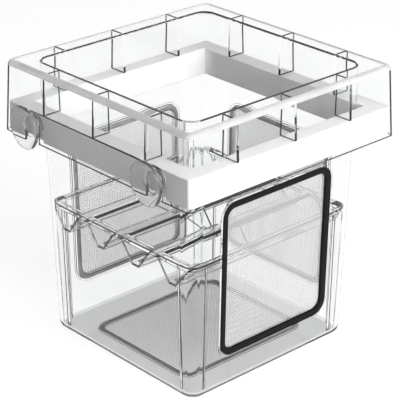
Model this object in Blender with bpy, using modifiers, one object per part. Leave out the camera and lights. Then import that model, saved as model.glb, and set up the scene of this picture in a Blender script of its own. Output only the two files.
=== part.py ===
"""Fish breeding box: a clear box on a foam float, with screened windows and a slotted fry tray.

Metres, +Z up. The origin is on the resting plane, under the middle of the whole, suction cups
included. The front wall faces low Y, the two suction cups are on the side at low X, and the
troughs of the tray run along X. Windows with a net held by a rubber gasket are in the front,
the back, the side at high X and the floor. The pieces are modelled about the box's own middle,
and finish() moves them to the origin.
"""
import math

import bmesh
import bpy
from mathutils import Matrix

# Clearances between separate pieces, and how far a cut runs past what it cuts
SEAT_GAP = 0.0003
MESH_GAP = 0.0002
OVERRUN = 0.004
WELD = 0.000005

# Box walls, which lean outwards from foot to rim
BOX_HEIGHT = 0.198
MOUTH_HALF = 0.0768
WALL_LEAN = 0.0048
WALL = 0.002
FLOOR = 0.0024
CORNER_RADIUS = 0.0105
FOOT_FILLET = 0.005
INNER_FILLET = 0.003

# Rim, skirt and the ribs between skirt and wall
RIM_WIDTH = 0.0132
RIM_THICKNESS = 0.002
RIM_CORNER_RADIUS = 0.005
RIM_EDGE_ROUND = 0.0035
MOUTH_ROUND = 0.0015
SKIRT_FLARE = 0.0022
SKIRT_DEPTH = 0.0498
SKIRT_WALL = 0.002
RIB_SPACING = 0.050
RIB_THICKNESS = 0.002
RIBS_PER_SIDE = 3

# Foam float in the channel between skirt and wall; its drop runs from the rim to its underside
FLOAT_DROP = 0.0487
FLOAT_THICKNESS = 0.0195
FLOAT_PLAY = 0.0004
FLOAT_CORNER_RADIUS = 0.0024
FLOAT_INNER_CORNER_RADIUS = 0.001

# Windows: margins between the gasket's outside and the foot's sides, the ground and the float
WINDOW_SIDE_MARGIN = 0.0236
WINDOW_END_MARGIN = 0.0171
WINDOW_FOOT_MARGIN = 0.0252
WINDOW_HEAD_MARGIN = 0.0143
WINDOW_RADIUS = 0.010
GASKET_BAND = 0.0042
GASKET_PROUD = 0.001
GASKET_SUNK = 0.0002
GASKET_EDGE_ROUND = 0.0003
LIP_THICKNESS = 0.0005
LIP_COVER = 0.0032
RIDGE_WIDTH = 0.0017
RIDGE_PROUD = 0.001
RIDGE_EDGE_ROUND = 0.0003

# Net in each window
NET_THICKNESS = 0.0003
NET_BAR = 0.0015
NET_GAPS_ACROSS = 7
NET_GAPS_UP = 8

# Fry tray: rim plate, V troughs with slots, cross web and corner legs
TRAY_ROOM = 0.00104
TRAY_TOP = 0.0964
TRAY_THICKNESS = 0.0028
TRAY_END_BAR = 0.005
TROUGHS = 4
TROUGH_LAND = 0.00765
TROUGH_HALF_BOTTOM = 0.00275
TROUGH_DEPTH = 0.017
TROUGH_WALL = 0.0015
SLOT_HALF_WIDTH = 0.0025
SLOT_BRIDGE_HALF = 0.002
WEB_THICKNESS = 0.0012
LEG_ARM = 0.0128
LEG_THICKNESS = 0.0025

# Suction cups, whose necks hang in notches of the skirt
CUP_MARGIN = 0.0295
CUP_DROP = 0.0376
CUP_RADIUS = 0.015
CUP_RIM_DEPTH = 0.007
CUP_LIP = 0.0006
CUP_HOLLOW_DEPTH = 0.0042
CUP_COLLAR_RADIUS = 0.008
CUP_COLLAR_THICKNESS = 0.0011
CUP_NECK_RADIUS = 0.0059
CUP_HEAD_RADIUS = 0.008
CUP_HEAD_THICKNESS = 0.0024

# Facets of round shapes
WALL_CORNER_STEPS = 12
CORNER_STEPS = 6
FILLET_STEPS = 3
TURN_STEPS = 32
CUP_FACE_STEPS = 5

# Places and slopes that follow from the sizes
FOOT_HALF = MOUTH_HALF - WALL_LEAN
RIM_HALF = MOUTH_HALF + RIM_WIDTH
SKIRT_FOOT_HALF = RIM_HALF + SKIRT_FLARE
FLOAT_BASE = BOX_HEIGHT - FLOAT_DROP
FLOAT_TOP = FLOAT_BASE + FLOAT_THICKNESS
RIB_BASE = FLOAT_TOP + SEAT_GAP
SKIRT_BASE = BOX_HEIGHT - SKIRT_DEPTH
WALL_SLOPE = WALL_LEAN / BOX_HEIGHT
SKIRT_SLOPE = SKIRT_FLARE / SKIRT_DEPTH
WINDOW_HALF_WIDTH = FOOT_HALF - WINDOW_SIDE_MARGIN
WALL_WINDOW_HALF_HEIGHT = (FLOAT_BASE - WINDOW_HEAD_MARGIN - WINDOW_FOOT_MARGIN) / 2
FLOOR_WINDOW_HALF_HEIGHT = FOOT_HALF - WINDOW_END_MARGIN
WINDOW_CENTRE_HEIGHT = WINDOW_FOOT_MARGIN + WALL_WINDOW_HALF_HEIGHT
TRAY_HALF = FOOT_HALF + WALL_SLOPE * TRAY_TOP - WALL - TRAY_ROOM
TROUGH_PITCH = 2 * TRAY_HALF / TROUGHS
TROUGH_HALF_OPENING = (TROUGH_PITCH - TROUGH_LAND) / 2
TROUGH_BASE = TRAY_TOP - TROUGH_DEPTH
CUP_SPREAD = RIM_HALF - CUP_MARGIN
CUP_HEIGHT = BOX_HEIGHT - CUP_DROP
NOTCH_RADIUS = CUP_NECK_RADIUS + SEAT_GAP
SLANT_ROOM = CUP_HEAD_RADIUS * SKIRT_SLOPE + SEAT_GAP
CUP_REACH = RIM_HALF + SKIRT_SLOPE * CUP_DROP + CUP_RIM_DEPTH
BOX_MIDDLE_X = (CUP_REACH - SKIRT_FOOT_HALF) / 2

CLEAR = ((0.93, 0.95, 0.96, 1.0), 0.05, 0.0)
FOAM = ((0.86, 0.86, 0.85, 1.0), 0.85, 0.0)
RUBBER = ((0.02, 0.02, 0.02, 1.0), 0.55, 0.0)
STEEL_MESH = ((0.78, 0.78, 0.76, 1.0), 0.35, 1.0)
SOFT_CLEAR = ((0.90, 0.92, 0.93, 1.0), 0.12, 0.0)


def wall_half(height):
    """Half the width over the box walls at a height."""
    return FOOT_HALF + WALL_SLOPE * height


def wall_inner_half(height):
    return wall_half(height) - WALL


def skirt_half(height):
    """Half the width over the skirt at a height."""
    return RIM_HALF + SKIRT_SLOPE * (BOX_HEIGHT - height)


def skirt_inner_half(height):
    return skirt_half(height) - SKIRT_WALL


def clear_scene():
    for item in list(bpy.data.objects):
        bpy.data.objects.remove(item)


def make_collection(name):
    collection = bpy.data.collections.new(name)
    bpy.context.scene.collection.children.link(collection)
    return collection


def make_material(name, look):
    colour, roughness, metallic = look
    material = bpy.data.materials.new(name)
    material.use_nodes = True
    shader = material.node_tree.nodes["Principled BSDF"]
    shader.inputs["Base Color"].default_value = colour
    shader.inputs["Roughness"].default_value = roughness
    shader.inputs["Metallic"].default_value = metallic
    material.diffuse_color = colour
    return material


def new_object(name, mesh, place=None):
    item = bpy.data.objects.new(name, mesh)
    bpy.context.scene.collection.objects.link(item)
    if place is not None:
        item.matrix_world = place
    return item


def object_from_bmesh(name, shape, place=None):
    mesh = bpy.data.meshes.new(name)
    bmesh.ops.recalc_face_normals(shape, faces=shape.faces[:])
    shape.to_mesh(mesh)
    shape.free()
    return new_object(name, mesh, place)


def bake(item):
    """Replace the object's mesh by its evaluated mesh and drop its modifiers."""
    bpy.context.view_layer.update()
    graph = bpy.context.evaluated_depsgraph_get()
    mesh = bpy.data.meshes.new_from_object(item.evaluated_get(graph))
    old = item.data
    item.modifiers.clear()
    item.data = mesh
    bpy.data.meshes.remove(old)


def combine(item, tool, operation):
    """Join, cut or trim the object with a tool object, which is used up."""
    modifier = item.modifiers.new(operation.lower(), "BOOLEAN")
    modifier.operation = operation
    modifier.solver = "EXACT"
    modifier.object = tool
    bake(item)
    bpy.data.objects.remove(tool)


def round_edges(shape, edges, radius, steps):
    bmesh.ops.bevel(shape, geom=edges, offset=radius, offset_type="OFFSET", segments=steps,
                    profile=0.5, affect="EDGES", clamp_overlap=False)


def level_edges(shape, height):
    """Edges whose two ends both lie at a height."""
    return [edge for edge in shape.edges
            if all(abs(vertex.co.z - height) < WELD for vertex in edge.verts)]


def drafted_box(name, half_at, low, high, radius, foot_fillet=0.0):
    """A square box between two heights whose half width follows half_at, with round corners."""
    shape = bmesh.new()
    bmesh.ops.create_cube(shape, size=2)
    for vertex in shape.verts:
        height = high if vertex.co.z > 0 else low
        half = half_at(height)
        vertex.co = (vertex.co.x * half, vertex.co.y * half, height)
    upright = [edge for edge in shape.edges if edge.verts[0].co.z != edge.verts[1].co.z]
    round_edges(shape, upright, radius, WALL_CORNER_STEPS)
    if foot_fillet:
        round_edges(shape, level_edges(shape, low), foot_fillet, FILLET_STEPS)
    return object_from_bmesh(name, shape)


def plain_box(name, low_corner, high_corner):
    shape = bmesh.new()
    bmesh.ops.create_cube(shape, size=1)
    for vertex in shape.verts:
        vertex.co = [high if along > 0 else low
                     for along, low, high in zip(vertex.co, low_corner, high_corner)]
    return object_from_bmesh(name, shape)


def rounded_outline(half_x, half_y, radius):
    """Points of a rectangle with round corners, anticlockwise."""
    points = []
    for quarter, (side_x, side_y) in enumerate(((1, 1), (-1, 1), (-1, -1), (1, -1))):
        centre_x = side_x * (half_x - radius)
        centre_y = side_y * (half_y - radius)
        for step in range(CORNER_STEPS + 1):
            angle = math.radians(90) * (quarter + step / CORNER_STEPS)
            points.append((centre_x + radius * math.cos(angle), centre_y + radius * math.sin(angle)))
    return points


def notch_outline(radius, drop):
    """A round top about the origin with straight sides that run down by drop."""
    points = [(-radius, -drop), (radius, -drop)]
    for step in range(TURN_STEPS // 2 + 1):
        angle = math.pi * step / (TURN_STEPS // 2)
        points.append((radius * math.cos(angle), radius * math.sin(angle)))
    return points


def flat_solid(name, outlines, low, high, place=None, edge_round=0.0):
    """Flat outlines made solid between two levels; an outline inside another is a hole."""
    curve = bpy.data.curves.new(name, "CURVE")
    curve.dimensions = "2D"
    curve.fill_mode = "BOTH"
    curve.extrude = (high - low) / 2 - edge_round
    curve.bevel_depth = edge_round
    curve.bevel_resolution = 0
    curve.offset = -edge_round
    for outline in outlines:
        spline = curve.splines.new("POLY")
        spline.points.add(len(outline) - 1)
        for point, (x, y) in zip(spline.points, outline):
            point.co = (x, y, 0, 1)
        spline.use_cyclic_u = True
    source = new_object(name, curve)
    bpy.context.view_layer.update()
    graph = bpy.context.evaluated_depsgraph_get()
    mesh = bpy.data.meshes.new_from_object(source.evaluated_get(graph))
    bpy.data.objects.remove(source)
    shape = bmesh.new()
    shape.from_mesh(mesh)
    bpy.data.meshes.remove(mesh)
    bmesh.ops.remove_doubles(shape, verts=shape.verts[:], dist=WELD)
    bmesh.ops.translate(shape, verts=shape.verts[:], vec=(0, 0, (low + high) / 2))
    return object_from_bmesh(name, shape, place)


def wall_place(turn):
    """Frame of a wall's window: X along the wall, Y up it, Z straight out of it."""
    lean = math.radians(90) + math.atan(WALL_SLOPE)
    centre = (0, -wall_half(WINDOW_CENTRE_HEIGHT), WINDOW_CENTRE_HEIGHT)
    turned = Matrix.Rotation(math.radians(turn), 4, "Z")
    return turned @ Matrix.Translation(centre) @ Matrix.Rotation(lean, 4, "X")


def floor_place():
    """Frame of the floor's window: Z straight down from the underside."""
    return Matrix.Rotation(math.radians(90), 4, "Z") @ Matrix.Rotation(math.radians(180), 4, "X")


# Each window's frame, half height, thickness of what it pierces and how far its gasket stands out
WINDOWS = {
    "front": (wall_place(0), WALL_WINDOW_HALF_HEIGHT, WALL, GASKET_PROUD),
    "side": (wall_place(90), WALL_WINDOW_HALF_HEIGHT, WALL, GASKET_PROUD),
    "back": (wall_place(180), WALL_WINDOW_HALF_HEIGHT, WALL, GASKET_PROUD),
    "floor": (floor_place(), FLOOR_WINDOW_HALF_HEIGHT, FLOOR, -GASKET_SUNK),
}


def window_outline(half_height, growth):
    """The outline over the gasket, grown or, where growth is negative, shrunk."""
    return rounded_outline(WINDOW_HALF_WIDTH + growth, half_height + growth, WINDOW_RADIUS + growth)


def add_ribs(body):
    """Ribs that tie the skirt to the wall above the float."""
    inner = (wall_half(RIB_BASE) + wall_inner_half(BOX_HEIGHT)) / 2
    outer = (skirt_inner_half(RIB_BASE) + skirt_half(BOX_HEIGHT)) / 2
    top = BOX_HEIGHT - RIM_THICKNESS / 2
    for side in range(4):
        for place in range(RIBS_PER_SIDE):
            across = RIB_SPACING * (place - (RIBS_PER_SIDE - 1) / 2)
            rib = plain_box("rib", (inner, across - RIB_THICKNESS / 2, RIB_BASE),
                            (outer, across + RIB_THICKNESS / 2, top))
            rib.matrix_world = Matrix.Rotation(math.radians(90) * side, 4, "Z")
            combine(body, rib, "UNION")


def round_rim(body):
    """Round the mouth's edge and the rim's outer edge."""
    shape = bmesh.new()
    shape.from_mesh(body.data)
    divide = (MOUTH_HALF + RIM_HALF) / 2
    top = level_edges(shape, BOX_HEIGHT)
    mouth = []
    outer = []
    for edge in top:
        if len(edge.link_faces) == 2 and edge.calc_face_angle() > math.radians(30):
            reach = max(abs(edge.verts[0].co.x), abs(edge.verts[0].co.y))
            (mouth if reach < divide else outer).append(edge)
    round_edges(shape, mouth, MOUTH_ROUND, FILLET_STEPS)
    round_edges(shape, outer, RIM_EDGE_ROUND, FILLET_STEPS + 1)
    shape.to_mesh(body.data)
    shape.free()


def cut_window(body, place, half_height, thickness, proud):
    """Raise the ridge, sink the seat and open the wall of one window."""
    if proud > 0:
        ridge = flat_solid("ridge", [window_outline(half_height, SEAT_GAP + RIDGE_WIDTH)],
                           -thickness / 2, RIDGE_PROUD, place, RIDGE_EDGE_ROUND)
        combine(body, ridge, "UNION")
    seat = flat_solid("seat", [window_outline(half_height, SEAT_GAP)],
                      LIP_THICKNESS - thickness, OVERRUN, place)
    combine(body, seat, "DIFFERENCE")
    opening = flat_solid("opening", [window_outline(half_height, -LIP_COVER)],
                         -thickness - OVERRUN, OVERRUN, place)
    combine(body, opening, "DIFFERENCE")


def cup_place(side):
    """Frame at a notch: X along the skirt, Y up, Z into the box along +X."""
    axes = Matrix(((0, 0, 1, 0), (1, 0, 0, 0), (0, 1, 0, 0), (0, 0, 0, 1)))
    return Matrix.Translation((0, side * CUP_SPREAD, CUP_HEIGHT)) @ axes


def cut_notches(body):
    outline = notch_outline(NOTCH_RADIUS, CUP_HEIGHT - SKIRT_BASE + OVERRUN)
    for side in (1, -1):
        notch = flat_solid("notch", [outline], -SKIRT_FOOT_HALF - OVERRUN,
                           -skirt_inner_half(BOX_HEIGHT) + OVERRUN, cup_place(side))
        combine(body, notch, "DIFFERENCE")


def make_box_body():
    """Walls and floor, the rim with its skirt and ribs, the window seats and the notches."""
    body = drafted_box("box_body", wall_half, 0.0, BOX_HEIGHT, CORNER_RADIUS, FOOT_FILLET)
    cap = drafted_box("cap", skirt_half, SKIRT_BASE, BOX_HEIGHT, RIM_CORNER_RADIUS)
    channel = drafted_box("channel", skirt_inner_half, SKIRT_BASE - OVERRUN,
                          BOX_HEIGHT - RIM_THICKNESS, RIM_CORNER_RADIUS - SKIRT_WALL)
    combine(cap, channel, "DIFFERENCE")
    combine(body, cap, "UNION")
    add_ribs(body)
    hollow = drafted_box("hollow", wall_inner_half, FLOOR, BOX_HEIGHT + OVERRUN,
                         CORNER_RADIUS - WALL, INNER_FILLET)
    combine(body, hollow, "DIFFERENCE")
    round_rim(body)
    for place, half_height, thickness, proud in WINDOWS.values():
        cut_window(body, place, half_height, thickness, proud)
    cut_notches(body)
    return body


def head_reach():
    """How far the outer end of a cup's head lies inside the skirt's face at the cup's height."""
    return SKIRT_WALL + SLANT_ROOM


def make_float_ring():
    """Foam ring with a pocket for the head of each suction cup, open to its underside."""
    outer_half = skirt_inner_half(FLOAT_TOP) - FLOAT_PLAY
    inner_half = wall_half(FLOAT_TOP) + FLOAT_PLAY
    outer = rounded_outline(outer_half, outer_half, FLOAT_CORNER_RADIUS)
    inner = rounded_outline(inner_half, inner_half, FLOAT_INNER_CORNER_RADIUS)
    ring = flat_solid("float_ring", [outer, inner], FLOAT_BASE, FLOAT_TOP)
    pocket_end = skirt_half(CUP_HEIGHT) - head_reach() - CUP_HEAD_THICKNESS - SEAT_GAP
    outline = notch_outline(CUP_HEAD_RADIUS + SEAT_GAP, CUP_HEIGHT - FLOAT_BASE + OVERRUN)
    for side in (1, -1):
        pocket = flat_solid("pocket", [outline], -outer_half - OVERRUN, -pocket_end, cup_place(side))
        combine(ring, pocket, "DIFFERENCE")
    return ring


def make_gasket(name, half_height, thickness, proud):
    """Rubber band that holds the net on its lip; it lies in the window's own frame."""
    back = LIP_THICKNESS - thickness + MESH_GAP + NET_THICKNESS + MESH_GAP
    outlines = [window_outline(half_height, 0.0), window_outline(half_height, -GASKET_BAND)]
    return flat_solid(name, outlines, back, proud, edge_round=GASKET_EDGE_ROUND)


def net_lines(half, gaps):
    """Places of the bars' edges from one side of the net to the other."""
    border = GASKET_BAND + NET_BAR
    gap = (2 * (half - border) - NET_BAR * (gaps - 1)) / gaps
    lines = [-half]
    for index in range(gaps):
        start = -half + border + index * (gap + NET_BAR)
        lines += [start, start + gap]
    lines.append(half)
    return lines


def make_net(name, half_height, thickness):
    """Flat net with a border, cut to the window's outline, in the window's own frame."""
    across = net_lines(WINDOW_HALF_WIDTH, NET_GAPS_ACROSS)
    up = net_lines(half_height, NET_GAPS_UP)
    shape = bmesh.new()
    bmesh.ops.create_grid(shape, x_segments=len(across) - 1, y_segments=len(up) - 1, size=1)
    columns = sorted({round(vertex.co.x, 4) for vertex in shape.verts})
    rows = sorted({round(vertex.co.y, 4) for vertex in shape.verts})
    gaps = []
    for face in shape.faces:
        centre = face.calc_center_median()
        column = sum(centre.x > edge for edge in columns) - 1
        row = sum(centre.y > edge for edge in rows) - 1
        if column % 2 and row % 2:
            gaps.append(face)
    for vertex in shape.verts:
        column = columns.index(round(vertex.co.x, 4))
        row = rows.index(round(vertex.co.y, 4))
        vertex.co = (across[column], up[row], 0)
    bmesh.ops.delete(shape, geom=gaps, context="FACES")
    net = object_from_bmesh(name, shape)
    skin = net.modifiers.new("thickness", "SOLIDIFY")
    skin.thickness = NET_THICKNESS
    skin.offset = 0
    bake(net)
    back = LIP_THICKNESS - thickness + MESH_GAP
    net.data.transform(Matrix.Translation((0, 0, back + NET_THICKNESS / 2)))
    trim = flat_solid("trim", [window_outline(half_height, 0.0)], back - OVERRUN, back + OVERRUN)
    combine(net, trim, "INTERSECT")
    return net


def trough_section(half_bottom, bottom, half_top, top):
    """A trapezium that narrows downwards, in Y and Z."""
    return [(-half_bottom, bottom), (half_bottom, bottom), (half_top, top), (-half_top, top)]


def along_x(name, section, low, high, shift):
    """A section in Y and Z made solid along X, moved sideways by shift."""
    axes = Matrix(((0, 0, 1, 0), (1, 0, 0, shift), (0, 1, 0, 0), (0, 0, 0, 1)))
    return flat_solid(name, [section], low, high, axes)


def make_fry_tray():
    """Plate with V troughs, slotted along the bottom, on an angle leg in each corner."""
    underside = TRAY_TOP - TRAY_THICKNESS
    inner_bottom = TROUGH_BASE + TROUGH_WALL
    run = (TROUGH_HALF_OPENING - TROUGH_HALF_BOTTOM) / (TRAY_TOP - inner_bottom)
    widening = TROUGH_WALL * math.hypot(1, run)

    def half_width(height):
        return TROUGH_HALF_BOTTOM + run * (height - inner_bottom)

    corner = CORNER_RADIUS - WALL - TRAY_ROOM
    reach = TRAY_HALF + OVERRUN
    tray = plain_box("fry_tray", (-reach, -reach, underside), (reach, reach, TRAY_TOP))
    shifts = [TROUGH_PITCH * (index - (TROUGHS - 1) / 2) for index in range(TROUGHS)]
    web = plain_box("web", (-WEB_THICKNESS / 2, shifts[0], TROUGH_BASE + SEAT_GAP),
                    (WEB_THICKNESS / 2, shifts[-1], underside + TRAY_THICKNESS / 2))
    combine(tray, web, "UNION")
    overlap = TRAY_THICKNESS / 2
    for shift in shifts:
        section = trough_section(half_width(TROUGH_BASE) + widening, TROUGH_BASE,
                                 half_width(underside + overlap) + widening, underside + overlap)
        trough = along_x("trough", section, -reach, reach, shift)
        combine(tray, trough, "UNION")
    channel = trough_section(TROUGH_HALF_BOTTOM, inner_bottom,
                             half_width(TRAY_TOP + OVERRUN), TRAY_TOP + OVERRUN)
    for shift in shifts:
        hollow = along_x("channel", channel, -reach - OVERRUN, reach + OVERRUN, shift)
        combine(tray, hollow, "DIFFERENCE")
    end = TRAY_HALF - TRAY_END_BAR
    for side in (1, -1):
        near, far = sorted((side * end, side * reach))
        bar = plain_box("bar", (near, -reach, underside), (far, reach, TRAY_TOP))
        combine(tray, bar, "UNION")
        for shift in shifts:
            near, far = sorted((side * SLOT_BRIDGE_HALF, side * end))
            slot = plain_box("slot", (near, shift - SLOT_HALF_WIDTH, TROUGH_BASE - OVERRUN),
                             (far, shift + SLOT_HALF_WIDTH, inner_bottom + TROUGH_WALL))
            combine(tray, slot, "DIFFERENCE")
    bounds = drafted_box("bounds", lambda height: TRAY_HALF, TROUGH_BASE - OVERRUN,
                         TRAY_TOP + OVERRUN, corner)
    combine(tray, bounds, "INTERSECT")
    combine(tray, make_legs(corner, underside + overlap), "UNION")
    return tray


def make_legs(corner, top):
    """Four angle legs that follow the lean of the box's inner corners."""

    def outer_half(height):
        return wall_inner_half(height) - TRAY_ROOM

    def inner_half(height):
        return outer_half(height) - LEG_THICKNESS

    base = FLOOR + SEAT_GAP
    legs = drafted_box("legs", outer_half, base, top, corner, INNER_FILLET)
    core = drafted_box("core", inner_half, base - OVERRUN, top + OVERRUN, corner - LEG_THICKNESS)
    combine(legs, core, "DIFFERENCE")
    reach = TRAY_HALF + OVERRUN
    arm_inner = TRAY_HALF - LEG_ARM
    for first, second in ((arm_inner, reach), (reach, arm_inner)):
        window = plain_box("window", (-first, -second, base - OVERRUN), (first, second, top + OVERRUN))
        combine(legs, window, "DIFFERENCE")
    return legs


def cup_profile():
    """Half section of a suction cup, from the hollow's centre round the rim to the head."""
    hollow_floor = CUP_RIM_DEPTH - CUP_HOLLOW_DEPTH
    points = []
    for step in range(CUP_FACE_STEPS + 1):
        share = step / CUP_FACE_STEPS
        points.append((CUP_RADIUS * share, hollow_floor + CUP_HOLLOW_DEPTH * share ** 2))
    collar_top = SLANT_ROOM + CUP_COLLAR_THICKNESS
    rise = CUP_RIM_DEPTH - CUP_LIP - collar_top
    for step in range(CUP_FACE_STEPS + 1):
        share = 1 - step / CUP_FACE_STEPS
        radius = CUP_COLLAR_RADIUS + (CUP_RADIUS - CUP_COLLAR_RADIUS) * share
        points.append((radius, collar_top + rise * share ** 1.5))
    head_top = -head_reach()
    head_base = head_top - CUP_HEAD_THICKNESS
    points.append((CUP_COLLAR_RADIUS, SLANT_ROOM))
    points.append((CUP_NECK_RADIUS, SLANT_ROOM))
    points.append((CUP_NECK_RADIUS, head_top))
    points.append((CUP_HEAD_RADIUS, head_top))
    points.append((CUP_HEAD_RADIUS, head_base))
    points.append((0.0, head_base))
    return points


def make_cup(name, side):
    """Suction cup whose local Z points out of the skirt; its origin is on its turning axis."""
    shape = bmesh.new()
    chain = [shape.verts.new((radius, 0, level)) for radius, level in cup_profile()]
    for start, end in zip(chain, chain[1:]):
        shape.edges.new((start, end))
    mesh = bpy.data.meshes.new(name)
    shape.to_mesh(mesh)
    shape.free()
    place = Matrix.Translation((-skirt_half(CUP_HEIGHT), side * CUP_SPREAD, CUP_HEIGHT))
    cup = new_object(name, mesh, place @ Matrix.Rotation(math.radians(-90), 4, "Y"))
    turn = cup.modifiers.new("turn", "SCREW")
    turn.axis = "Z"
    turn.steps = TURN_STEPS
    turn.render_steps = TURN_STEPS
    turn.use_merge_vertices = True
    turn.merge_threshold = WELD
    return cup


def finish(item, collection, look):
    """Move the piece to the origin's frame and give it its collection, material and shading."""
    bpy.context.view_layer.update()
    item.matrix_world = Matrix.Translation((BOX_MIDDLE_X, 0, 0)) @ item.matrix_world
    bpy.context.scene.collection.objects.unlink(item)
    collection.objects.link(item)
    item.data.materials.clear()
    item.data.materials.append(make_material(item.name, look))
    item.data.shade_smooth()
    item.data.set_sharp_from_angle(angle=math.radians(35))


def main():
    clear_scene()
    collection = make_collection("fish_breeding_box")
    finish(make_box_body(), collection, CLEAR)
    finish(make_float_ring(), collection, FOAM)
    finish(make_fry_tray(), collection, CLEAR)
    for window, (place, half_height, thickness, proud) in WINDOWS.items():
        gasket = make_gasket("gasket_" + window, half_height, thickness, proud)
        net = make_net("mesh_" + window, half_height, thickness)
        gasket.matrix_world = place
        net.matrix_world = place
        finish(gasket, collection, RUBBER)
        finish(net, collection, STEEL_MESH)
    finish(make_cup("suction_cup_left", 1), collection, SOFT_CLEAR)
    finish(make_cup("suction_cup_right", -1), collection, SOFT_CLEAR)


main()
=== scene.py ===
"""Looks of the fish breeding box: clear moulded plastic, foam float, woven mesh and rubber."""

import math

import bmesh
import bpy
import numpy as np
from mathutils import Matrix, Vector


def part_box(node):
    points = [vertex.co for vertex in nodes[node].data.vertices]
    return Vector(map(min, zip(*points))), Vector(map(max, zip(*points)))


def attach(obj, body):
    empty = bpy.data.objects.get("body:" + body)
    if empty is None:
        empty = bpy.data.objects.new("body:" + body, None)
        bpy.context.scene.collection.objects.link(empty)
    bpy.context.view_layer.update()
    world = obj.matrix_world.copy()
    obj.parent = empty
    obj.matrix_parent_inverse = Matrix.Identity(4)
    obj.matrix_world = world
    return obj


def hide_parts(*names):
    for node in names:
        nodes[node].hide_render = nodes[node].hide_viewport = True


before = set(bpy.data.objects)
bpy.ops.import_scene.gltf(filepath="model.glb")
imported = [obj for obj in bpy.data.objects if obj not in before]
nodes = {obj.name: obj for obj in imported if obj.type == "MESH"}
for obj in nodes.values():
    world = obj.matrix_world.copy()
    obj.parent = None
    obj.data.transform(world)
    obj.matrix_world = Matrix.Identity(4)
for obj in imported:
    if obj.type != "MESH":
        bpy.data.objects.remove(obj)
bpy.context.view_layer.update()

# The part's own sizes, in metres, that the fine surfaces repeat
FOOT_HALF = 0.072
MOUTH_HALF = 0.0768
BOX_HEIGHT = 0.198
MOUTH_ROUND = 0.0015
RIM_HALF = 0.090
RIM_ROUND = 0.0035
WALL = 0.002
FLOOR = 0.0024
LIP = 0.0005
MESH_GAP = 0.0002
NET_THICKNESS = 0.0003
WINDOW_HALF_WIDTH = 0.0484
WINDOW_HALF_HEIGHT = 0.0549
WINDOW_CENTRE_HEIGHT = 0.0801
WINDOW_RADIUS = 0.010
GASKET_BAND = 0.0042
GASKET_PROUD = 0.001
GASKET_SUNK = 0.0002
GASKET_ROUND = 0.0004

# Woven wire
WIRE_PITCH = 0.0015
WIRE_HALF_WIDTH = 0.00034
WIRE_HALF_HEIGHT = 0.00016
WEAVE_HIDDEN = 0.0034

# Edges of the finished copies: lengths in metres, angles in degrees
MERGE_DISTANCE = 0.000004
BOX_EDGE = 0.00035
FOAM_EDGE = 0.0004
EDGE_STEPS = 2
# Width of the dark wedges of painted shade along the tray's edges
TRAY_LINE = 0.00038
LINE_LIFT = 0.00001
EDGE_ANGLE = 55
SHARP_ANGLE = 35
SMOOTH_ANGLE = 40
FLAT_ANGLE = 0.6
ROOM_SHARE = 0.4
SHORT_EDGE_SHARE = 0.5
SHORT_LINE_SHARE = 0.25
NORMAL_WEIGHT = 90

# Material places of the box for its painted shade of dark edges and its painted highlight on the rim,
# and the upward parts of the normals that take them
PAINTED_SHADE_INDEX = 1
PAINTED_SHADE_SLANTS = (0.5, 0.9)
PAINTED_HIGHLIGHT_INDEX = 2
PAINTED_HIGHLIGHT_SLANTS = (0.1, 0.995)

# Steps of a quarter turn
OUTLINE_STEPS = 16
SECTION_STEPS = 4

# Materials
CLEAR_TINT = (0.985, 0.99, 0.99)
# Darker tint of the box's floor plate: painted shade for the shadow under the box
FLOOR_SHADE_TINT = (0.58, 0.585, 0.585)
TRAY_TINT = (0.975, 0.98, 0.98)
VINYL_TINT = (0.86, 0.865, 0.87)
# Pale tones of the rim's outer round: painted highlight
PAINTED_HIGHLIGHT_TONES = (0.86, 0.93)
FOAM_COLOURS = ((0.86, 0.86, 0.855), (0.90, 0.90, 0.89))
RUBBER_ROUGHNESS = (0.42, 0.62)
ROUGHNESS_SHARES = (0.6, 1.4)
PATCH_SHARE = 0.985
FLOOR_MARGIN_SHARE = 1.05
SPECK_SHARE = 1.6
WIRE_DULL_SHARE = 0.93
BLEND_FROM = 0.3
BLEND_TO = 0.7

# Light
DOME = 0.40
DARK_FROM = 0.45
DARK_FULL = 0.85
DARK_TONE = 0.25
FLOOR_TONE = 0.45
FLOOR_GLOW = 0.74
FLOOR_REACH = 6.0
FLOOR_DROP = 0.0003
KEY_DIRECTION = (-0.02, -0.89, 0.45)
KEY_DISTANCE = 1.6
KEY_SIZE = 1.1
KEY_POWER = 20.0
BOUNCES = 32
HALF_BOUNCE = 0.5

# Camera, fitted to the photo
CAMERA_EYE = (-0.6973, -0.7608, 0.5749)
CAMERA_TARGET = (-0.0221, -0.0255, 0.1138)
CAMERA_LENS = 150.9
CAMERA_SENSOR = 36.0
CLIP_START = 0.01
CLIP_END = 50

middle = (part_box("float_ring")[0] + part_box("float_ring")[1]) / 2
slope = (MOUTH_HALF - FOOT_HALF) / BOX_HEIGHT


def wall_place(turn):
    """Frame of a wall's window: X along the wall, Y up it, Z straight out of it."""
    out = FOOT_HALF + slope * WINDOW_CENTRE_HEIGHT
    lean = math.radians(90) + math.atan(slope)
    turned = Matrix.Rotation(math.radians(turn), 4, "Z")
    place = turned @ Matrix.Translation((0, -out, WINDOW_CENTRE_HEIGHT))
    return Matrix.Translation((middle.x, 0, 0)) @ place @ Matrix.Rotation(lean, 4, "X")


def floor_place():
    """Frame of the floor's window: Z straight down from the underside."""
    turned = Matrix.Rotation(math.radians(90), 4, "Z") @ Matrix.Rotation(math.radians(180), 4, "X")
    return Matrix.Translation((middle.x, 0, 0)) @ turned


# Each window's frame, the thickness of its wall and how far the gasket stands out of it
WINDOWS = {
    "front": (wall_place(0), WALL, GASKET_PROUD),
    "side": (wall_place(90), WALL, GASKET_PROUD),
    "back": (wall_place(180), WALL, GASKET_PROUD),
    "floor": (floor_place(), FLOOR, -GASKET_SUNK),
}


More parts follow.
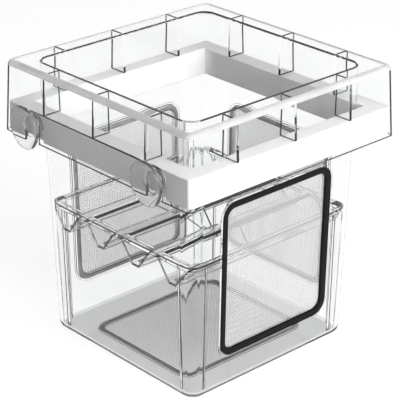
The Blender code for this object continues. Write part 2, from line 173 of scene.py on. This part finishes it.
def column(items, name, width, kind=np.float64):
    """One property of every item of a mesh, as an array."""
    values = np.empty(len(items) * width, dtype=kind)
    items.foreach_get(name, values)
    return values.reshape(-1, width) if width > 1 else values


def placed(points, place):
    """Points turned and moved by a 4 by 4 matrix, as whole arrays."""
    matrix = np.array(place)
    return points @ matrix[:3, :3].T + matrix[:3, 3]


def grid_faces(rows, columns, close_rows, close_columns):
    """Quads of a grid of points, wrapped round in either direction."""
    i = np.arange(rows if close_rows else rows - 1)
    j = np.arange(columns if close_columns else columns - 1)
    i, j = np.meshgrid(i, j, indexing="ij")
    right = (j + 1) % columns
    down = (i + 1) % rows
    quads = [i * columns + j, i * columns + right, down * columns + right, down * columns + j]
    return np.stack(quads, -1).reshape(-1, 4)


def mesh_object(name, points, faces, body, slot, material, smooth_angle=0):
    """A closed mesh at the origin, its faces turned outwards, that rides on a body."""
    mesh = bpy.data.meshes.new(name)
    mesh.from_pydata(points.tolist(), [], [list(face) for face in faces])
    shape = bmesh.new()
    shape.from_mesh(mesh)
    bmesh.ops.recalc_face_normals(shape, faces=shape.faces[:])
    shape.to_mesh(mesh)
    shape.free()
    mesh.shade_smooth()
    if smooth_angle:
        mesh.set_sharp_from_angle(angle=math.radians(smooth_angle))
    mesh.materials.append(material)
    piece = bpy.data.objects.new(name, mesh)
    bpy.context.scene.collection.objects.link(piece)
    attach(piece, body)
    return piece


def adder(tree):
    """A shortcut that adds a node to a tree and sets its sockets or properties by name."""
    def add(kind, **values):
        node = tree.nodes.new(kind)
        for key, value in values.items():
            if key in node.inputs:
                node.inputs[key].default_value = value
            else:
                setattr(node, key, value)
        return node

    return add


def new_material(name, sockets):
    """A new material, its node tree, its shader with the given values, and the shortcut."""
    material = bpy.data.materials.new(name)
    material.use_nodes = True
    tree = material.node_tree
    shader = tree.nodes["Principled BSDF"]
    for socket, value in sockets.items():
        shader.inputs[socket].default_value = value
    return material, tree, shader, adder(tree)


def object_noise(tree, add, scale, detail=2.0):
    """Noise on the piece's own coordinates."""
    place = add("ShaderNodeTexCoord")
    noise = add("ShaderNodeTexNoise", Scale=scale, Detail=detail)
    tree.links.new(place.outputs["Object"], noise.inputs["Vector"])
    return noise.outputs["Fac"]


def bump(tree, add, shader, source, strength, distance):
    """Fine relief of a surface, its height taken from a source."""
    node = add("ShaderNodeBump", Strength=strength, Distance=distance)
    tree.links.new(source, node.inputs["Height"])
    tree.links.new(node.outputs["Normal"], shader.inputs["Normal"])


def blend_colours(tree, add, factor, first, second, target, low=BLEND_FROM, high=BLEND_TO):
    """A colour between two that follows a factor between two values."""
    ramp = add("ShaderNodeValToRGB")
    ramp.color_ramp.elements[0].position = low
    ramp.color_ramp.elements[1].position = high
    ramp.color_ramp.elements[0].color = (*first, 1)
    ramp.color_ramp.elements[1].color = (*second, 1)
    tree.links.new(factor, ramp.inputs["Fac"])
    tree.links.new(ramp.outputs["Color"], target)


def blend_values(tree, add, factor, first, second, target):
    """A value between two that follows a factor from 0 to 1."""
    spread = add("ShaderNodeMapRange")
    spread.inputs["To Min"].default_value = first
    spread.inputs["To Max"].default_value = second
    tree.links.new(factor, spread.inputs["Value"])
    tree.links.new(spread.outputs["Result"], target)


def lamps_pass(tree, add, shader, passed):
    """Shadow rays meet a tinted open surface, so that lamps shine through the material."""
    path = add("ShaderNodeLightPath")
    opened = add("ShaderNodeBsdfTransparent", Color=(*[passed] * 3, 1))
    mix = add("ShaderNodeMixShader")
    tree.links.new(path.outputs["Is Shadow Ray"], mix.inputs["Fac"])
    tree.links.new(shader.outputs["BSDF"], mix.inputs[1])
    tree.links.new(opened.outputs["BSDF"], mix.inputs[2])
    tree.links.new(mix.outputs["Shader"], tree.nodes["Material Output"].inputs["Surface"])


def floor_painted_shade(tree, add, tint, target):
    """Socket for the colour above the box's floor; all that is lower takes the given tint, a painted
    shade for the shadow under the box.
    """
    place = add("ShaderNodeTexCoord")
    split = add("ShaderNodeSeparateXYZ")
    low = add("ShaderNodeMath", operation="LESS_THAN")
    low.inputs[1].default_value = FLOOR * FLOOR_MARGIN_SHARE
    mix = add("ShaderNodeMix", data_type="RGBA")
    mix.inputs["B"].default_value = (*tint, 1)
    tree.links.new(place.outputs["Object"], split.inputs["Vector"])
    tree.links.new(split.outputs["Z"], low.inputs[0])
    tree.links.new(low.outputs["Value"], mix.inputs["Factor"])
    tree.links.new(mix.outputs["Result"], target)
    return mix.inputs["A"]


def clear_plastic(name, tint, roughness, ior, passed, ripple, floor_shade_tint=None):
    """Clear moulded plastic with faint ripples of its surface; lamps shine through it."""
    material, tree, shader, add = new_material(name, {"Transmission Weight": 1.0, "IOR": ior})
    patches = object_noise(tree, add, scale=90.0)
    target = shader.inputs["Base Color"]
    # The floor plate takes a darker tint: painted shade for the shadow under the box
    if floor_shade_tint:
        target = floor_painted_shade(tree, add, floor_shade_tint, target)
    blend_colours(tree, add, patches, tint, [part * PATCH_SHARE for part in tint], target)
    least, most = [roughness * share for share in ROUGHNESS_SHARES]
    blend_values(tree, add, patches, least, most, shader.inputs["Roughness"])
    ripples = object_noise(tree, add, scale=45.0)
    bump(tree, add, shader, ripples, strength=ripple, distance=0.001)
    lamps_pass(tree, add, shader, passed)
    return material


def edge_shade(name, tone):
    """Dark colour for the edges of clear plastic: painted shade where light is turned away and the
    edge reads dark.
    """
    sockets = {"Transmission Weight": 0.1, "IOR": 1.2, "Roughness": 0.25}
    material, tree, shader, add = new_material(name, sockets)
    specks = object_noise(tree, add, scale=150.0)
    blend_colours(tree, add, specks, [tone] * 3, [tone * SPECK_SHARE] * 3, shader.inputs["Base Color"])
    bump(tree, add, shader, object_noise(tree, add, scale=300.0), strength=0.02, distance=0.0005)
    lamps_pass(tree, add, shader, passed=0.8)
    return material


def painted_rim_highlight():
    """The rim's rounded outer edge in a pale colour: a painted highlight for the light that the flange
    carries to it and scatters there.
    """
    sockets = {"Transmission Weight": 0.2, "IOR": 1.2, "Roughness": 0.35}
    material, tree, shader, add = new_material("rim_edge_painted_highlight", sockets)
    specks = object_noise(tree, add, scale=120.0)
    first, second = [[tone] * 3 for tone in PAINTED_HIGHLIGHT_TONES]
    blend_colours(tree, add, specks, first, second, shader.inputs["Base Color"])
    bump(tree, add, shader, object_noise(tree, add, scale=200.0), strength=0.03, distance=0.0005)
    lamps_pass(tree, add, shader, passed=0.8)
    return material


def foam_material():
    """White closed-cell foam: tiny cells as relief and a faint mottling."""
    material, tree, shader, add = new_material("white_foam", {"Roughness": 0.8})
    place = add("ShaderNodeTexCoord")
    cells = add("ShaderNodeTexVoronoi", Scale=900.0)
    tree.links.new(place.outputs["Object"], cells.inputs["Vector"])
    mottle = object_noise(tree, add, scale=60.0, detail=4.0)
    blend_colours(tree, add, mottle, *FOAM_COLOURS, shader.inputs["Base Color"], low=0.35)
    bump(tree, add, shader, cells.outputs["Distance"], strength=0.25, distance=0.0004)
    return material


def rubber_material(name, tone):
    """Rubber with a fine grain and dusty variation."""
    material, tree, shader, add = new_material(name, {"Specular IOR Level": 0.15})
    grain = object_noise(tree, add, scale=1400.0, detail=3.0)
    dust = object_noise(tree, add, scale=120.0, detail=3.0)
    blend_colours(tree, add, dust, [tone] * 3, [tone * SPECK_SHARE] * 3,
                  shader.inputs["Base Color"], low=0.4, high=0.8)
    blend_values(tree, add, dust, *RUBBER_ROUGHNESS, shader.inputs["Roughness"])
    bump(tree, add, shader, grain, strength=0.15, distance=0.0002)
    return material


def wire_material(name, tone):
    """Pale stainless wire with slight changes of tone along it."""
    material, tree, shader, add = new_material(name, {"Metallic": 0.2, "Roughness": 0.45})
    patches = object_noise(tree, add, scale=300.0)
    blend_colours(tree, add, patches, [tone * WIRE_DULL_SHARE] * 3, [tone] * 3,
                  shader.inputs["Base Color"])
    bump(tree, add, shader, object_noise(tree, add, scale=4000.0), strength=0.1, distance=0.0001)
    return material


def shade_rim(piece):
    """Give the middle of the mouth's round the painted shade of the dark edges, and the rim's outer
    round the painted highlight.
    """
    mesh = piece.data
    centre = column(mesh.polygons, "center", 3)
    normal = column(mesh.polygons, "normal", 3)
    reach = np.maximum(np.abs(centre[:, 0] - middle.x), np.abs(centre[:, 1]))
    rise = normal[:, 2]
    mouth = (centre[:, 2] > BOX_HEIGHT - MOUTH_ROUND) & (reach < MOUTH_HALF + 2 * MOUTH_ROUND)
    outer = (centre[:, 2] > BOX_HEIGHT - RIM_ROUND) & (reach > RIM_HALF - RIM_ROUND)
    index = np.zeros(len(mesh.polygons), dtype=np.int32)
    # Painted shade: the middle of the mouth's round takes the dark edge material
    index[mouth & (rise > PAINTED_SHADE_SLANTS[0]) & (rise < PAINTED_SHADE_SLANTS[1])] = PAINTED_SHADE_INDEX
    # Painted highlight: the rim's outer round takes the pale rim material
    index[outer & (rise > PAINTED_HIGHLIGHT_SLANTS[0]) & (rise < PAINTED_HIGHLIGHT_SLANTS[1])] = PAINTED_HIGHLIGHT_INDEX
    mesh.polygons.foreach_set("material_index", index)


def weigh_edges(shape, width):
    """Mark the sharp outer edges for rounding, less where the face beside one is narrow."""
    weight = shape.edges.layers.float.new("bevel_weight_edge")
    for line in shape.edges:
        if len(line.link_faces) != 2 or not line.is_convex:
            continue
        if line.calc_length() < SHORT_EDGE_SHARE * width:
            continue
        if line.calc_face_angle() < math.radians(EDGE_ANGLE):
            continue
        start = line.verts[0].co
        along = (line.verts[1].co - start).normalized()
        room = min(max((corner.co - start).cross(along).length for corner in face.verts)
                   for face in line.link_faces)
        line[weight] = min(1.0, ROOM_SHARE * room / width)


def round_edges(piece, width, material_index):
    """Live rounding of the weighted edges; the rounds take the given material."""
    bevel = piece.modifiers.new("edge", "BEVEL")
    bevel.width = width
    bevel.segments = EDGE_STEPS
    bevel.limit_method = "WEIGHT"
    bevel.use_clamp_overlap = False
    bevel.harden_normals = False
    bevel.material = material_index
    bevel.miter_outer = "MITER_ARC"


def finished_copy(node, name, body, material, width=0, painted_edge_material=None):
    """The node's own solid with its seams merged, its edges rounded and its normals evened.

    Flat faces are joined first, so that the evened normals keep them flat. With no width the
    edges stay as they are.
    """
    mesh = nodes[node].data.copy()
    mesh.name = name
    shape = bmesh.new()
    shape.from_mesh(mesh)
    bmesh.ops.remove_doubles(shape, verts=shape.verts[:], dist=MERGE_DISTANCE)
    bmesh.ops.dissolve_limit(shape, angle_limit=math.radians(FLAT_ANGLE), verts=shape.verts[:],
                             edges=shape.edges[:], use_dissolve_boundaries=False)
    if width:
        weigh_edges(shape, width)
    shape.to_mesh(mesh)
    shape.free()
    if "custom_normal" in mesh.attributes:
        mesh.attributes.remove(mesh.attributes["custom_normal"])
    mesh.materials.clear()
    mesh.materials.append(material)
    if painted_edge_material:
        mesh.materials.append(painted_edge_material)
    piece = bpy.data.objects.new(name, mesh)
    bpy.context.scene.collection.objects.link(piece)
    mesh.shade_smooth()
    mesh.set_sharp_from_angle(angle=math.radians(SHARP_ANGLE))
    if width:
        # Where an edge material is given, the rounds take it: painted shade of dark edges
        round_edges(piece, width, PAINTED_SHADE_INDEX if painted_edge_material else -1)
    even = piece.modifiers.new("even", "WEIGHTED_NORMAL")
    even.keep_sharp = True
    even.weight = NORMAL_WEIGHT
    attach(piece, body)
    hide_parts(node)
    return piece


def edge_strips(mesh, width):
    """Points and faces of a slim closed wedge along each sharp outer edge of a mesh.

    Its section is a triangle: the edge, lifted off both faces, and on each face the point that
    lies the given width inwards from the edge, square to it. A face's inward direction is its
    normal crossed with the edge's direction round that face.
    """
    edge_of = column(mesh.loops, "edge_index", 1, np.int32)
    start_of = column(mesh.loops, "vertex_index", 1, np.int32)
    corners = column(mesh.polygons, "loop_total", 1, np.int32)
    face_of = np.repeat(np.arange(len(mesh.polygons)), corners)
    ends = column(mesh.edges, "vertices", 2, np.int32)
    spots = column(mesh.vertices, "co", 3)
    normals = column(mesh.polygons, "normal", 3)
    order = np.argsort(edge_of, kind="stable")
    paired = edge_of[order[:-1]] == edge_of[order[1:]]
    edges = edge_of[order[:-1][paired]]
    tail = spots[ends[edges, 0]]
    head = spots[ends[edges, 1]]
    length = np.linalg.norm(head - tail, axis=1, keepdims=True)
    along = (head - tail) / np.maximum(length, LINE_LIFT)
    rise = []
    into = []
    for loops in (order[:-1][paired], order[1:][paired]):
        turned = np.where(start_of[loops] == ends[edges, 0], 1.0, -1.0)
        normal = normals[face_of[loops]]
        rise.append(normal)
        into.append(np.cross(normal, along * turned[:, None]))
    sharp = np.sum(rise[0] * rise[1], axis=1) < math.cos(math.radians(EDGE_ANGLE))
    outer = np.sum(rise[0] * into[1], axis=1) < 0
    keep = sharp & outer & (length[:, 0] > SHORT_LINE_SHARE * width)
    lift = [side[keep] * LINE_LIFT for side in rise]
    step = [side[keep] * width for side in into]
    section = np.stack([lift[0] + lift[1], step[0] + lift[0], step[1] + lift[1]], 1)
    points = np.stack([tail[keep][:, None] + section, head[keep][:, None] + section], 1)
    wedge = [[0, 1, 4, 3], [1, 2, 5, 4], [2, 0, 3, 5], [0, 2, 1], [3, 4, 5]]
    per_wedge = points.shape[1] * points.shape[2]
    starts = range(0, per_wedge * len(points), per_wedge)
    faces = [[corner + start for corner in face] for start in starts for face in wedge]
    return points.reshape(-1, 3), faces


def rounded_path(half_x, half_y, radius, steps):
    """Points and outward directions round a rectangle with round corners.

    Each corner is a quarter circle: its centre lies the radius inwards from both sides, and a
    point is that centre plus the radius along the cosine and sine of its angle.
    """
    angles = np.linspace(0, math.pi / 2, steps + 1)
    quarter = np.arange(4)[:, None] * math.pi / 2 + angles
    out = np.stack([np.cos(quarter), np.sin(quarter)], -1)
    side = np.array([[1, 1], [-1, 1], [-1, -1], [1, -1]])[:, None, :]
    centre = side * (np.array([half_x, half_y]) - radius)
    return (centre + radius * out).reshape(-1, 2), out.reshape(-1, 2)


def round_section(width, low, high, radius, steps):
    """Closed section of a band between two levels, from 0 inwards to width, with round corners."""
    points, _ = rounded_path(width / 2, (high - low) / 2, radius, steps)
    return points + np.array([-width / 2, (high + low) / 2])


def gasket(window, rubber):
    """A window's rubber band.

    The band's round-cornered section is carried round the window's outline: a point is the
    outline's point, plus the section's first coordinate along the outward direction there, at
    the level of the section's second coordinate.
    """
    place, thickness, proud = WINDOWS[window]
    back = LIP - thickness + MESH_GAP + NET_THICKNESS + MESH_GAP
    section = round_section(GASKET_BAND, back, proud, GASKET_ROUND, SECTION_STEPS)
    path, out = rounded_path(WINDOW_HALF_WIDTH, WINDOW_HALF_HEIGHT, WINDOW_RADIUS, OUTLINE_STEPS)
    rings = path[:, None, :] + section[None, :, :1] * out[:, None, :]
    level = np.broadcast_to(section[None, :, 1:], rings.shape[:2] + (1,))
    points = placed(np.concatenate([rings, level], -1).reshape(-1, 3), place)
    faces = grid_faces(len(path), len(section), True, True)
    piece = mesh_object("rubber_" + window, points, faces, "box", "black_rubber", rubber, SMOOTH_ANGLE)
    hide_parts("gasket_" + window)


def wires(half_along, half_across, radius, turned):
    """Rings of points round the wires of one direction.

    The wires' offsets are whole pitches. A wire reaches to the rounded outline: half_along, less
    the corner arc's setback where the offset lies within the corner's radius. At each crossing
    its middle line is half a wire above or below the net's level, by turns. Round the middle
    line lie four points: half a width to each side, half a height up and down.
    """
    count = int(half_across / WIRE_PITCH)
    offsets = np.arange(-count, count + 1) * WIRE_PITCH
    into = np.clip(np.abs(offsets) - (half_across - radius), 0, radius)
    reach = half_along - (radius - np.sqrt(radius ** 2 - into ** 2))
    crossings = int(half_along / WIRE_PITCH)
    share = np.arange(-crossings, crossings + 1) / crossings
    along = share[None, :] * np.minimum(reach, crossings * WIRE_PITCH)[:, None]
    over = (-1.0) ** (np.arange(len(offsets))[:, None] + np.arange(len(share))[None, :] + turned)
    rise = over * WIRE_HALF_HEIGHT
    ring = np.array([[1, 0], [0, 1], [-1, 0], [0, -1]]) * [WIRE_HALF_WIDTH, WIRE_HALF_HEIGHT]
    across = np.broadcast_to(offsets[:, None, None] + ring[:, 0], along.shape + (4,))
    level = rise[..., None] + ring[:, 1]
    run = np.broadcast_to(along[..., None], across.shape)
    order = (run, across, level) if turned else (across, run, level)
    return np.stack(order, -1)


def woven_mesh(window, wire_steel):
    """A window's net: two sets of wires that pass over and under each other.

    Each wire is the tube through its rings of four points, closed by a quad at each end. The
    sets lie at right angles, at the level of the CAD's net, and end under the gasket's band.
    """
    place, thickness, _ = WINDOWS[window]
    half_x = WINDOW_HALF_WIDTH - WEAVE_HIDDEN
    half_y = WINDOW_HALF_HEIGHT - WEAVE_HIDDEN
    radius = WINDOW_RADIUS - WEAVE_HIDDEN / 2
    points = []
    faces = []
    start = 0
    for grid in (wires(half_y, half_x, radius, 0), wires(half_x, half_y, radius, 1)):
        lines, rings, sides, _ = grid.shape
        points.append(grid.reshape(-1, 3))
        tube = grid_faces(rings, sides, False, True)
        caps = np.array([range(sides)[::-1], range(sides * (rings - 1), sides * rings)])
        wire = np.concatenate([tube, caps])
        shift = np.arange(lines)[:, None, None] * rings * sides + start
        faces.append((wire[None] + shift).reshape(-1, 4))
        start += lines * rings * sides
    flat = np.concatenate(points)
    flat[:, 2] += LIP - thickness + MESH_GAP + NET_THICKNESS / 2
    piece = mesh_object("woven_" + window, placed(flat, place), np.concatenate(faces), "box",
                        "steel_mesh", wire_steel)
    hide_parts("mesh_" + window)


def seen_rays(tree, add):
    """1 for rays that end in the eye, straight, mirrored or through something clear, else 0."""
    path = add("ShaderNodeLightPath")
    first = add("ShaderNodeMath", operation="MAXIMUM")
    second = add("ShaderNodeMath", operation="MAXIMUM")
    unlit = add("ShaderNodeMath", operation="LESS_THAN")
    unlit.inputs[1].default_value = HALF_BOUNCE
    both = add("ShaderNodeMath", operation="MULTIPLY")
    tree.links.new(path.outputs["Is Camera Ray"], first.inputs[0])
    tree.links.new(path.outputs["Is Glossy Ray"], first.inputs[1])
    tree.links.new(first.outputs["Value"], second.inputs[0])
    tree.links.new(path.outputs["Is Transmission Ray"], second.inputs[1])
    tree.links.new(path.outputs["Diffuse Depth"], unlit.inputs[0])
    tree.links.new(second.outputs["Value"], both.inputs[0])
    tree.links.new(unlit.outputs["Value"], both.inputs[1])
    return both.outputs["Value"]


def backdrop():
    """A pale floor that keeps the box's shadow and rises to white where nothing shades it."""
    mesh = bpy.data.meshes.new("floor")
    corners = [(-1, -1), (1, -1), (1, 1), (-1, 1)]
    points = [(x * FLOOR_REACH, y * FLOOR_REACH, -FLOOR_DROP) for x, y in corners]
    mesh.from_pydata(points, [], [range(len(points))])
    floor = bpy.data.objects.new("floor", mesh)
    bpy.context.scene.collection.objects.link(floor)
    material, tree, shader, add = new_material("pale_floor", {})
    tree.nodes.remove(shader)
    matt = add("ShaderNodeBsdfDiffuse", Color=(*[FLOOR_TONE] * 3, 1))
    glow = add("ShaderNodeEmission", Strength=FLOOR_GLOW)
    both = add("ShaderNodeAddShader")
    mix = add("ShaderNodeMixShader")
    tree.links.new(matt.outputs["BSDF"], both.inputs[0])
    tree.links.new(glow.outputs["Emission"], both.inputs[1])
    tree.links.new(seen_rays(tree, add), mix.inputs["Fac"])
    tree.links.new(matt.outputs["BSDF"], mix.inputs[1])
    tree.links.new(both.outputs["Shader"], mix.inputs[2])
    tree.links.new(mix.outputs["Shader"], tree.nodes["Material Output"].inputs["Surface"])
    mesh.materials.append(material)


def sky():
    """A soft dome for light; clear things see it white at the horizon and dark overhead."""
    world = bpy.data.worlds.new("studio")
    bpy.context.scene.world = world
    world.use_nodes = True
    tree = world.node_tree
    tree.nodes.clear()
    add = adder(tree)
    out = add("ShaderNodeOutputWorld")
    place = add("ShaderNodeTexCoord")
    split = add("ShaderNodeSeparateXYZ")
    tree.links.new(place.outputs["Generated"], split.inputs["Vector"])
    shown = add("ShaderNodeBackground", Strength=1.0)
    blend_colours(tree, add, split.outputs["Z"], [1.0] * 3, [DARK_TONE] * 3, shown.inputs["Color"],
                  low=DARK_FROM, high=DARK_FULL)
    dome = add("ShaderNodeBackground", Color=(1, 1, 1, 1), Strength=DOME)
    plain = add("ShaderNodeBackground", Color=(1, 1, 1, 1), Strength=1.0)
    path = add("ShaderNodeLightPath")
    first = add("ShaderNodeMixShader")
    second = add("ShaderNodeMixShader")
    tree.links.new(seen_rays(tree, add), first.inputs["Fac"])
    tree.links.new(dome.outputs["Background"], first.inputs[1])
    tree.links.new(shown.outputs["Background"], first.inputs[2])
    tree.links.new(path.outputs["Is Camera Ray"], second.inputs["Fac"])
    tree.links.new(first.outputs["Shader"], second.inputs[1])
    tree.links.new(plain.outputs["Background"], second.inputs[2])
    tree.links.new(second.outputs["Shader"], out.inputs["Surface"])


def key_lamp():
    """A square soft box that faces the part from the front."""
    light = bpy.data.lights.new("key", "AREA")
    light.size = KEY_SIZE
    light.energy = KEY_POWER
    item = bpy.data.objects.new("key", light)
    aim = Vector(KEY_DIRECTION).normalized()
    item.location = Vector((0, 0, BOX_HEIGHT / 2)) + aim * KEY_DISTANCE
    item.rotation_mode = "QUATERNION"
    item.rotation_quaternion = aim.to_track_quat("Z", "Y")
    bpy.context.scene.collection.objects.link(item)


def camera():
    """The camera that was fitted to the photo."""
    data = bpy.data.cameras.new("camera")
    data.lens = CAMERA_LENS
    data.sensor_width = CAMERA_SENSOR
    data.clip_start = CLIP_START
    data.clip_end = CLIP_END
    item = bpy.data.objects.new("camera", data)
    eye = Vector(CAMERA_EYE) + Vector((middle.x, 0, 0))
    target = Vector(CAMERA_TARGET) + Vector((middle.x, 0, 0))
    item.location = eye
    item.rotation_mode = "QUATERNION"
    item.rotation_quaternion = (eye - target).to_track_quat("Z", "Y")
    bpy.context.scene.collection.objects.link(item)
    bpy.context.scene.camera = item


# The box's plastic takes a darker tint below its floor's top: painted shade for the shadow under the
# box
clear = clear_plastic("clear_plastic", CLEAR_TINT, roughness=0.008, ior=1.25, passed=0.91,
                      ripple=0.001, floor_shade_tint=FLOOR_SHADE_TINT)
clear_inner = clear_plastic("clear_tray_plastic", TRAY_TINT, roughness=0.008, ior=1.25, passed=0.91,
                            ripple=0.001)
soft_clear = clear_plastic("soft_clear_vinyl", VINYL_TINT, roughness=0.05, ior=1.4, passed=0.8,
                           ripple=0.02)
# Dark colours for the edges of box and tray: painted shade where refraction turns the light away
box_edge_shade = edge_shade("clear_edges_painted_shade", tone=0.008)
tray_edge_shade = edge_shade("clear_tray_edges_painted_shade", tone=0.012)
black_rubber = rubber_material("black_rubber", tone=0.002)
# A paler copy of the black rubber for the side, back and floor gaskets: painted light that makes them
# read faint behind the clear walls and nets
pale_rubber_painted_light = rubber_material("pale_rubber_painted_light", tone=0.26)
pale_wire = wire_material("steel_wire", tone=0.99)
# A darker copy of the steel wire for the floor's net: painted shade for the shadow of the box and tray
# over it
shaded_wire_copy = wire_material("steel_wire_painted_shade", tone=0.62)

box = finished_copy("box_body", "clear_box", "box", clear, BOX_EDGE, box_edge_shade)
# The rim's outer round takes a pale colour: painted highlight
box.data.materials.append(painted_rim_highlight())
shade_rim(box)
tray = finished_copy("fry_tray", "clear_tray", "tray", clear_inner)
# Dark wedges along the tray's sharp edges: painted shade where refraction turns the light away
mesh_object("clear_tray_edges_painted_shade", *edge_strips(tray.data, TRAY_LINE), "tray", "clear_tray", tray_edge_shade)
finished_copy("float_ring", "foam_ring", "box", foam_material(), FOAM_EDGE)
for window in WINDOWS:
    # The front gasket is black; the others take the paler copy, painted light
    gasket(window, black_rubber if window == "front" else pale_rubber_painted_light)
    # The floor's net takes the darker wire copy, painted shade
    woven_mesh(window, shaded_wire_copy if window == "floor" else pale_wire)
for side in ("left", "right"):
    finished_copy("suction_cup_" + side, "vinyl_cup_" + side, "cup_" + side, soft_clear)

backdrop()
sky()
key_lamp()
camera()
bpy.context.scene.view_settings.view_transform = "Standard"
bpy.context.scene.cycles.max_bounces = BOUNCES
bpy.context.scene.cycles.transmission_bounces = BOUNCES
bpy.context.scene.cycles.transparent_max_bounces = BOUNCES
